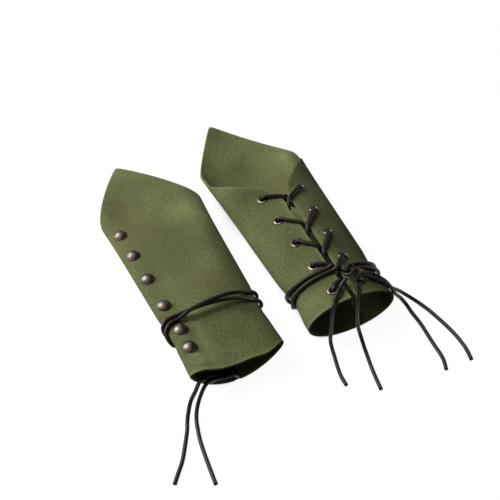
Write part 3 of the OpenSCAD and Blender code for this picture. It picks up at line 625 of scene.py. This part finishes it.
# Free tails: over the leather as [x, y, height over its middle], then beside it as [x, y, z]
FLOOR = CORD_R
TAILS = (
    ("right_tail_a", RIGHT,
     ((0.2, 13.8, 8), (-3.4, 12.4, 5.6), (-6.6, 10, 4), (-10.6, 6.4, 3.9), (-14.6, 3.2, 3)),
     ((-18, -0.6, 42.4), (-20.6, -3.6, 37), (-21.8, -5.6, 28), (-22.6, -7.4, 18), (-23, -9, 9),
      (-22.8, -12.4, FLOOR + 1), (-24, -18, FLOOR), (-27, -29.5, FLOOR), (-28.6, -38, FLOOR),
      (-28.8, -46.6, FLOOR))),
    ("right_tail_b", RIGHT,
     ((6.4, 12.6, 6), (6.6, 9.4, 3.4), (5, 5, 2.9), (3.2, 1, 2.9), (2, -1.6, 2.2)),
     ((1, -4, 40.4), (0.4, -5.4, 35), (0.6, -6.4, 25.5), (1.8, -7, 15.6), (3.4, -8.6, 7),
      (3.8, -12, FLOOR + 0.6), (2.6, -17, FLOOR), (0.8, -24, FLOOR), (-3.7, -43.8, FLOOR),
      (-6.6, -61, FLOOR))),
    ("right_tail_c", RIGHT,
     ((12.6, 20, 7.2), (17, 19, 4.4), (23, 17.4, 2.9), (29, 14.6, 2.8), (34, 11, 2.8)),
     ((41.4, 8.6, 24), (46.4, 9.4, 18.6), (52.2, 9.8, 12.4), (58.6, 6.8, 6.6), (64, 2, FLOOR + 1),
      (67.4, -5, FLOOR), (70.1, -15, FLOOR), (74, -36.3, FLOOR), (74.6, -53.3, FLOOR),
      (72.3, -66.4, FLOOR))),
    ("right_tail_d", RIGHT,
     ((12.4, 16.2, 8.4), (16.6, 14.6, 5.6), (21.6, 12.4, 3.4), (27, 9.8, 2.8), (32.6, 6.8, 2.8),
      (36.2, 5.2, 2.8)),
     ((40.8, 3.8, 23.4), (44.8, 4.2, 17.4), (49.2, 4.4, 11.4), (53, 0.8, 5.4), (54.6, -6, FLOOR + 0.3),
      (55, -20.7, FLOOR), (53.6, -38, FLOOR), (52.6, -55.1, FLOOR), (49.1, -66.2, FLOOR))),
    ("left_tail_a", LEFT,
     ((-3.7, 7.8, -2.8), (-12, 6.4, -2.8), (-20, 5.4, -2.8), (-26, 3.4, -2.8), (-29.4, 0.2, -2.9)),
     ((-32.2, -2.6, 23.4), (-36.8, -5.6, 18.8), (-42.2, -8.6, 12.6), (-46.6, -13.6, 6.2),
      (-49.6, -18.6, FLOOR + 0.8), (-53, -26, FLOOR), (-63.8, -45, FLOOR), (-70.4, -53.5, FLOOR),
      (-76.5, -61.2, FLOOR))),
    ("left_tail_b", LEFT,
     ((-3.7, 3.4, -2.8), (-11, 2.8, -2.8), (-18, 2, -2.8), (-23, 0.2, -3)),
     ((-27.6, -3, 17.8), (-33.4, -6.4, 11.8), (-38.4, -11.6, 6.8), (-41.6, -17, 3.2),
      (-43.6, -23, FLOOR), (-46.7, -37, FLOOR), (-48.7, -55.6, FLOOR), (-50.1, -73.4, FLOOR))),
)

for k, (name, b, on, off) in enumerate(TAILS):
    line = smooth_line([palm(b, *p) for p in on] + [Vector(p) for p in off], CORD_STEP)
    line = shifted(b, [Vector((p.x, p.y, max(p.z, FLOOR))) for p in line])
    tail = cord_piece(name + "_cord", line, CORD_R, TAIL_SEED + k)
    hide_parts(name)
    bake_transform(tail)


# Suede split leather, dyed through and brushed: a short nap that scatters light evenly, grain of 1 to 2 mm,
# brushed patches and faint tan rubs a few centimetres wide, slight waves, and no gloss. The nap's own hairs
# are too fine to show, so its grain is drawn as coarse as it shows in the render. Widths are in millimetres
PATCH = 45.45
WAVE = 33.33
MOTTLE = 1.613
NAP = 0.8696
RUB = 52.63
RUB_PLACE = (0.37, 0.11, 0.2)
# How many times darker the painted shade, and how many times paler the painted light, makes the suede at full
# strength
SHADE_AND_LIGHT_CONTRAST = 2.85


def brushed_suede(name, dark, plain, light, rub):
    material, tree = blank(name)
    place = put(tree, "ShaderNodeTexCoord").outputs["Object"]
    patches = put(tree, "ShaderNodeTexNoise", {
        "Vector": place, "Scale": per_metre(PATCH), "Detail": 2.0, "Roughness": 0.5}).outputs["Fac"]
    waves = put(tree, "ShaderNodeTexNoise", {
        "Vector": place, "Scale": per_metre(WAVE), "Detail": 0.0, "Roughness": 0.5}).outputs["Fac"]
    mottle = put(tree, "ShaderNodeTexNoise", {
        "Vector": place, "Scale": per_metre(MOTTLE), "Detail": 1.5, "Roughness": 0.6}).outputs["Fac"]
    nap = put(tree, "ShaderNodeTexNoise", {
        "Vector": place, "Scale": per_metre(NAP), "Detail": 1.0, "Roughness": 0.6}).outputs["Fac"]
    shade = weighed(tree, [(patches, 0.32), (mottle, 0.42), (nap, 0.26)])
    colour = put(tree, "ShaderNodeValToRGB", {"Fac": shade},
                 stops=((0.32, dark), (0.5, plain), (0.68, light))).outputs["Color"]
    moved = put(tree, "ShaderNodeMapping", {"Vector": place, "Location": RUB_PLACE}).outputs[0]
    rubbed = put(tree, "ShaderNodeTexNoise", {
        "Vector": moved, "Scale": per_metre(RUB), "Detail": 2.0, "Roughness": 0.55}).outputs["Fac"]
    rubbed = put(tree, "ShaderNodeMapRange", {
        "Value": rubbed, "From Min": 0.54, "From Max": 0.72, "To Min": 0.0, "To Max": 0.5}).outputs[0]
    colour = put(tree, "ShaderNodeMix", {"Factor": rubbed, "A": colour, "B": to_linear(rub)},
                 data_type="RGBA").outputs["Result"]
    wear = put(tree, "ShaderNodeAttribute", attribute_name="edge_wear").outputs["Fac"]
    colour = put(tree, "ShaderNodeMix", {"Factor": wear, "A": colour, "B": to_linear(light)},
                 data_type="RGBA").outputs["Result"]
    # Painted shade and painted light: the per-point value darkens or lightens the suede's colour
    shade_and_light_paint = put(tree, "ShaderNodeAttribute", attribute_name="painted_shade_and_light").outputs["Fac"]
    negated_paint = put(tree, "ShaderNodeMath", {0: shade_and_light_paint, 1: -1.0}, operation="MULTIPLY").outputs[0]
    paint_factor = put(tree, "ShaderNodeMath", {0: SHADE_AND_LIGHT_CONTRAST, 1: negated_paint}, operation="POWER").outputs[0]
    colour = put(tree, "ShaderNodeVectorMath", {0: colour, "Scale": paint_factor}, operation="SCALE").outputs[0]
    bent = put(tree, "ShaderNodeBump", {"Strength": 1.0, "Distance": 0.004, "Height": waves})
    height = weighed(tree, [(mottle, 0.7), (nap, 0.5)])
    bump = put(tree, "ShaderNodeBump", {
        "Strength": 0.55, "Distance": 0.0006, "Height": height, "Normal": bent.outputs["Normal"]})
    shader = put(tree, "ShaderNodeBsdfPrincipled", {
        "Base Color": colour, "Roughness": 0.94, "Specular IOR Level": 0.1, "Sheen Weight": 0.03,
        "Sheen Roughness": 0.5, "Normal": bump.outputs["Normal"]})
    put(tree, "ShaderNodeOutputMaterial", {"Surface": shader.outputs[0]})
    return material


suede = brushed_suede("green_suede_nap", "#4a4f33", "#656a45", "#7f8359", "#706a45")
suede_edge = brushed_suede("green_suede_cut_edge", "#6a6742", "#807f57", "#959469", "#8a7c55")


def deselect():
    bpy.ops.object.select_all(action="DESELECT")


def only(obj):
    deselect()
    obj.select_set(True)
    bpy.context.view_layer.objects.active = obj


# Leather. The mesh has more rows and columns where it is cut or folded
SHELL_COLUMNS = 120
FLAP_COLUMNS = 48
FINE_ROWS = 104
FOLD_CROWDING = 14
GAP_CROWDING = 1.15
EDGE_CROWDING = 0.6
TIP_SHARE = 0.66
SMOOTH_UNDER = 40
HOLE_R = 3.1
DRILL_SIDES = 32
DRILL_LENGTH = 4 * LEATHER
# Along the cut edges the leather is worn pale
WEAR = 0.75
WEAR_REACH = 3.5
# Painted shade: the suede is darkened by the right fold, and on the right bracer from there to the lacing,
# where those sides turn away from the light
PAINTED_FLANK_SHADE = 0.52
FLANK_SHADE_START = 10
FLANK_SHADE_REACH = 22
FOLD_SHADE_REACH = (8, 18)
# More painted shade in soft patches, among them cast shadows of the lace, the knot and the wrist cords that
# the lamps do not give. Where the last number is negative the patch is painted lighter instead: painted
# light, some of it over shadows that the lamps do cast. Each is [place across, place along, reach across,
# reach along, how much], first on the palm sides of the right and the left bracer, then on their backs
PALM_PAINTED_SHADE_AND_LIGHT = (
    ((-28, 142, 13, 16, 0.48), (-15, 130, 8, 14, 0.25), (-20, 74, 13, 26, 0.24), (16, 53, 7, 10, 0.65),
     (15, 84, 6, 10, 0.45), (13, 137, 7, 9, 0.3), (32, 122, 9, 26, -0.3), (-17, 25, 12, 5, 0.4),
     (28, 14, 8, 6, 0.45)),
    ((38, 50, 9, 66, 0.5),),
)
BACK_PAINTED_SHADE_AND_LIGHT = (
    ((-3, 268, 12, 18, 0.32), (30, 196, 20, 26, -0.16), (43, 200, 8, 12, -0.25), (32, 122, 9, 26, -0.3)),
    ((-16, 24, 7, 27, -0.65), (-26, 17, 6, 14, -0.5), (-12, 54, 9, 7, -0.55), (-19, 84, 8, 30, -0.2),
     (20, 172, 19, 19, -0.46), (37, 160, 9, 16, -0.26), (38, 50, 9, 66, 0.5), (11, 26, 13, 15, 0.24),
     (27, 18, 10, 14, 0.12), (18, 56, 8, 5, 0.45), (28, 46, 7, 7, 0.4), (-30, 196, 10, 26, 0.24),
     (22, 74, 14, 20, 0.16)),
)


def spread(a, c, u):
    # Steps from one angle to another that are shorter at the folds
    def crowded(t):
        return t - FOLD_CROWDING * degrees_sin(2 * t)
    return a + (c - a) * (crowded(a + (c - a) * u) - crowded(a)) / (crowded(c) - crowded(a))


def shell_angle(b, u, v):
    a = 90 + gap_angle(b, v * LACED)
    t = TIP_ANGLE[b]
    if u < TIP_SHARE:
        return spread(a, t, (u / TIP_SHARE) ** GAP_CROWDING)
    return spread(t, 360, (u - TIP_SHARE) / (1 - TIP_SHARE))


def flap_angle(b, u, v):
    return spread(0, 90 - gap_angle(b, v * LACED), 1 - (1 - u) ** GAP_CROWDING)


# Painted shade by the right folds and on the right bracer's flap side, plus the listed patches of painted
# shade and painted light, as one value per point
def painted_shade_and_light(b, angle, place):
    if b == RIGHT and angle < 180:
        past = (place.x - FLANK_SHADE_START) / FLANK_SHADE_REACH
    else:
        past = 1 - (half_width(b, place.y) - place.x) / FOLD_SHADE_REACH[b]
    past = max(0.0, min(1.0, past))
    painted_amount = PAINTED_FLANK_SHADE * past * past * (3 - 2 * past)
    for x, y, wide, long, much in (PALM_PAINTED_SHADE_AND_LIGHT if angle < 180 else BACK_PAINTED_SHADE_AND_LIGHT)[b]:
        painted_amount += much * math.exp(-((place.x - x) / wide) ** 2 - ((place.y - y) / long) ** 2)
    return max(-1.0, min(1.0, painted_amount))


def leather_piece(name, b, angle_of, columns):
    # A grid bent into the leather's middle, with the cut edges' wear and the painted shade and light kept on
    # its points
    deselect()
    bpy.ops.mesh.primitive_grid_add(x_subdivisions=columns, y_subdivisions=FINE_ROWS, size=2)
    piece = bpy.context.object
    piece.name = name
    mesh = piece.data
    wear = mesh.attributes.new("edge_wear", "FLOAT", "POINT")
    shade_and_light_paint = mesh.attributes.new("painted_shade_and_light", "FLOAT", "POINT")
    places = []
    values = []
    nap = []
    for vertex in mesh.vertices:
        u = (vertex.co.x + 1) / 2
        t = (vertex.co.y + 1) / 2
        v = t - EDGE_CROWDING * math.sin(2 * math.pi * t) / (2 * math.pi)
        angle = angle_of(b, u, v)
        cut = cut_at(b, angle)
        place = middle(b, angle, v * cut)
        near = min(place.y, cut - place.y)
        if angle < 180:
            near = min(near, abs(place.x) - gap_half(place.y))
        places.append(in_row(b, place))
        values.append(WEAR * max(0.0, 1 - max(0.0, near) / WEAR_REACH))
        nap.append(painted_shade_and_light(b, angle, place))
    wear.data.foreach_set("value", values)
    shade_and_light_paint.data.foreach_set("value", nap)
    for vertex, place in zip(mesh.vertices, places):
        vertex.co = place
    mesh.update()
    return piece


def turn_outward(piece, b):
    # Faces look away from the bracer's heart line
    mesh = piece.data
    total = 0
    for face in mesh.polygons:
        y = face.center.y / MM - PLACE[b].y
        heart = in_row(b, Vector((0, y, STAND[b] + half_height(b, y) + dish(b, y) / 2)))
        total += (face.center - heart).dot(face.normal) * face.area
    if total < 0:
        mesh.flip_normals()


def thicken(piece):
    solid = piece.modifiers.new("thickness", "SOLIDIFY")
    solid.thickness = LEATHER * MM
    solid.offset = 0
    solid.use_even_offset = True
    solid.material_offset_rim = 1
    only(piece)
    bpy.ops.object.modifier_apply(modifier="thickness")


def punch(piece, b, spots, radius):
    deselect()
    drills = []
    for angle, y in spots:
        bpy.ops.mesh.primitive_cylinder_add(
            vertices=DRILL_SIDES, radius=radius * MM, depth=DRILL_LENGTH * MM,
            location=in_row(b, middle(b, angle, y)),
            rotation=outward(b, angle, y).to_track_quat("Z", "Y").to_euler())
        drills.append(bpy.context.object)
    for drill in drills:
        drill.select_set(True)
    bpy.ops.object.join()
    drill = bpy.context.object
    cut = piece.modifiers.new("holes", "BOOLEAN")
    cut.operation = "DIFFERENCE"
    cut.object = drill
    cut.solver = "EXACT"
    only(piece)
    bpy.ops.object.modifier_apply(modifier="holes")
    bpy.data.objects.remove(drill)


LEATHER_PARTS = (
    ("leather_shell", shell_angle, SHELL_COLUMNS, -1),
    ("leather_flap", flap_angle, FLAP_COLUMNS, 1),
)
leather = {}
for b in (RIGHT, LEFT):
    for part, angle_of, columns, side in LEATHER_PARTS:
        name = SIDE[b] + "_" + part
        piece = leather_piece(name + "_suede", b, angle_of, columns)
        turn_outward(piece, b)
        thicken(piece)
        eyelets = [(palm_angle(b, side * reach(i), row_y(i)), row_y(i)) for i in range(ROWS)]
        punch(piece, b, eyelets, HOLE_R)
        piece.data.materials.append(suede)
        piece.data.materials.append(suede_edge)
        only(piece)
        bpy.ops.object.shade_smooth_by_angle(angle=math.radians(SMOOTH_UNDER))
        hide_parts(name)
        leather[name] = piece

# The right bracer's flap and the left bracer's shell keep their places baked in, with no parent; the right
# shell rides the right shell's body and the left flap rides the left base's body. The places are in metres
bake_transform(leather["right_leather_flap"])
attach(leather["right_leather_shell"], "right_shell")
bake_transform(leather["left_leather_shell"])
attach(leather["left_leather_flap"], "left_base")


# Stamped metal, plated or plain, and tumbled: a soft broad gloss, with faint stains a few millimetres wide
# and fine scratches
STAIN = 3.846
SCRATCH = 0.4545


def tumbled_metal(name, dark, light, roughness):
    material, tree = blank(name)
    place = put(tree, "ShaderNodeTexCoord").outputs["Object"]
    stains = put(tree, "ShaderNodeTexNoise", {
        "Vector": place, "Scale": per_metre(STAIN), "Detail": 3.0, "Roughness": 0.6}).outputs["Fac"]
    scratches = put(tree, "ShaderNodeTexNoise", {
        "Vector": place, "Scale": per_metre(SCRATCH), "Detail": 1.0, "Roughness": 0.5}).outputs["Fac"]
    colour = put(tree, "ShaderNodeValToRGB", {"Fac": stains},
                 stops=((0.35, dark), (0.65, light))).outputs["Color"]
    gloss = put(tree, "ShaderNodeMapRange", {
        "Value": stains, "From Min": 0.3, "From Max": 0.7, "To Min": roughness - 0.04,
        "To Max": roughness + 0.06})
    bump = put(tree, "ShaderNodeBump", {"Strength": 0.1, "Distance": 0.0002, "Height": scratches})
    shader = put(tree, "ShaderNodeBsdfPrincipled", {
        "Base Color": colour, "Metallic": 1.0, "Roughness": gloss.outputs[0],
        "Normal": bump.outputs["Normal"]})
    put(tree, "ShaderNodeOutputMaterial", {"Surface": shader.outputs[0]})
    return material


# The metal pieces keep the shape of the frame's own and get their finish here
FINISHES = {
    "rivet_domes": tumbled_metal("gunmetal_plated_steel", "#5c544b", "#847a70", 0.37),
    "rivet_posts": tumbled_metal("bright_plated_steel", "#8c8782", "#a8a29c", 0.35),
    "shell_eyelets": tumbled_metal("antique_nickel_plate", "#3a322d", "#8f857a", 0.24),
    "shell_washers": tumbled_metal("tumbled_brass", "#8a6f3c", "#b3955a", 0.4),
}
FINISHES["flap_eyelets"] = FINISHES["shell_eyelets"]
FINISHES["flap_washers"] = FINISHES["shell_washers"]

for side in SIDE:
    for part, finish in FINISHES.items():
        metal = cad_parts[side + "_" + part].data
        metal.materials.clear()
        metal.materials.append(finish)


# Floor, light and surroundings
WHITE = (1.0, 1.0, 1.0, 1.0)
KEY_DIRECTION = Vector((-0.66, 0.4, 0.76)).normalized()
FLOOR_SIZE = 8
# The floor lies a hair under the part, so that no face of the part is in its plane
FLOOR_HEIGHT = -0.0002
PAPER_GLOW = 0.95
PAPER_SHADE = 0.13
# Painted shade on the floor: within this many metres, and between these shares of open air, its glow goes
# from dark to white
GAP_DEPTH = 0.03
GAP_CLOSED = 0.1
GAP_OPEN = 0.38
# Painted shade: on a strip under the left bracer's lacing gap the floor's glow stays dark unless nearly
# nothing is over it. The strip that the camera sees through the gap lies a little to the right of it and
# farther back. Its sizes are in metres
HIDDEN_HALF_WIDTH = 0.0034
HIDDEN_LENGTH = 0.14
HIDDEN_START = (0.0018, 0.003)
HIDDEN_CLOSED = 0.5
HIDDEN_OPEN = 0.95


# White paper: it glows white to the eye, keeps a faint shadow, has painted shade in closed gaps and under the
# left bracer's gap, and throws little light back
def white_floor():
    material, tree = blank("white_paper_floor")
    rays = put(tree, "ShaderNodeLightPath").outputs
    seen = put(tree, "ShaderNodeMath", {0: rays["Is Camera Ray"], 1: rays["Is Glossy Ray"]},
               operation="MAXIMUM").outputs[0]
    seen = put(tree, "ShaderNodeMath", {0: seen, 1: rays["Is Transmission Ray"]},
               operation="MAXIMUM").outputs[0]
    open_air = put(tree, "ShaderNodeAmbientOcclusion", {"Distance": GAP_DEPTH}, samples=16)
    spot = put(tree, "ShaderNodeSeparateXYZ", {0: put(tree, "ShaderNodeTexCoord").outputs["Object"]}).outputs
    # The strip of painted shade under the left bracer's lacing gap
    half_way = HIDDEN_LENGTH / 2
    middle_x = PLACE[LEFT].x * MM + HIDDEN_START[0]
    middle_y = PLACE[LEFT].y * MM + HIDDEN_START[1] + half_way
    across = put(tree, "ShaderNodeMath", {0: spot["X"], 1: middle_x, 2: HIDDEN_HALF_WIDTH},
                 operation="COMPARE").outputs[0]
    along = put(tree, "ShaderNodeMath", {0: spot["Y"], 1: middle_y, 2: half_way},
                operation="COMPARE").outputs[0]
    painted_shade_strip = put(tree, "ShaderNodeMath", {0: across, 1: along}, operation="MULTIPLY").outputs[0]
    closed = put(tree, "ShaderNodeMapRange", {
        "Value": painted_shade_strip, "To Min": GAP_CLOSED, "To Max": HIDDEN_CLOSED}).outputs[0]
    opened = put(tree, "ShaderNodeMapRange", {
        "Value": painted_shade_strip, "To Min": GAP_OPEN, "To Max": HIDDEN_OPEN}).outputs[0]
    glow_under_painted_shade = put(tree, "ShaderNodeMapRange", {
        "Value": open_air.outputs["AO"], "From Min": closed, "From Max": opened},
        interpolation_type="SMOOTHSTEP")
    strength = put(tree, "ShaderNodeMath", {0: seen, 1: glow_under_painted_shade.outputs[0]}, operation="MULTIPLY")
    strength = put(tree, "ShaderNodeMath", {0: strength.outputs[0], 1: PAPER_GLOW}, operation="MULTIPLY")
    glow = put(tree, "ShaderNodeEmission", {"Color": WHITE, "Strength": strength.outputs[0]})
    shade = put(tree, "ShaderNodeBsdfDiffuse", {"Color": (PAPER_SHADE, PAPER_SHADE, PAPER_SHADE, 1.0)})
    both = put(tree, "ShaderNodeAddShader", {0: glow.outputs[0], 1: shade.outputs[0]})
    put(tree, "ShaderNodeOutputMaterial", {"Surface": both.outputs[0]})
    return material


deselect()
bpy.ops.mesh.primitive_plane_add(size=FLOOR_SIZE, location=(0, 0, FLOOR_HEIGHT))
floor = bpy.context.object
floor.name = "paper_floor"
floor.data.materials.append(white_floor())

# White all round to the eye. Metal sees it dim, brighter on the lamp's side, and the rest gets a weak fill
# light
FILL = 0.065
MIRRORED_DIM = 0.04
MIRRORED_BRIGHT = 0.9
world = bpy.data.worlds.new("studio")
world.use_nodes = True
bpy.context.scene.world = world
sky = world.node_tree
sky.nodes.clear()
rays = put(sky, "ShaderNodeLightPath").outputs
incoming = put(sky, "ShaderNodeNewGeometry").outputs["Incoming"]
toward_key = put(sky, "ShaderNodeVectorMath", {0: incoming, 1: tuple(-KEY_DIRECTION)},
                 operation="DOT_PRODUCT")
dim = put(sky, "ShaderNodeMapRange", {
    "Value": toward_key.outputs["Value"], "From Min": 0.0, "From Max": 1.0, "To Min": MIRRORED_DIM,
    "To Max": MIRRORED_BRIGHT})
mirrored = put(sky, "ShaderNodeMath", {0: rays["Is Glossy Ray"], 1: dim.outputs[0]}, operation="MULTIPLY")
eye = put(sky, "ShaderNodeMath", {0: rays["Is Camera Ray"], 1: rays["Is Transmission Ray"]},
          operation="MAXIMUM")
seen = put(sky, "ShaderNodeMath", {0: eye.outputs[0], 1: mirrored.outputs[0]}, operation="MAXIMUM")
filled = put(sky, "ShaderNodeMath", {0: seen.outputs[0], 1: FILL}, operation="MAXIMUM")
air = put(sky, "ShaderNodeBackground", {"Color": WHITE, "Strength": filled.outputs[0]})
put(sky, "ShaderNodeOutputWorld", {"Surface": air.outputs[0]})


def lamp(name, direction, distance, size, watts):
    data = bpy.data.lights.new(name, "AREA")
    data.shape = "DISK"
    data.size = size
    data.energy = watts
    obj = bpy.data.objects.new(name, data)
    bpy.context.scene.collection.objects.link(obj)
    obj.location = direction * distance
    obj.rotation_euler = direction.to_track_quat("Z", "Y").to_euler()


lamp("key_upper_left", KEY_DIRECTION, distance=1.15, size=1.0, watts=16.2)
lamp("soft_top", Vector((-0.25, 0.25, 1.0)).normalized(), distance=1.7, size=1.2, watts=2.4)

bpy.context.scene.view_settings.view_transform = "Standard"
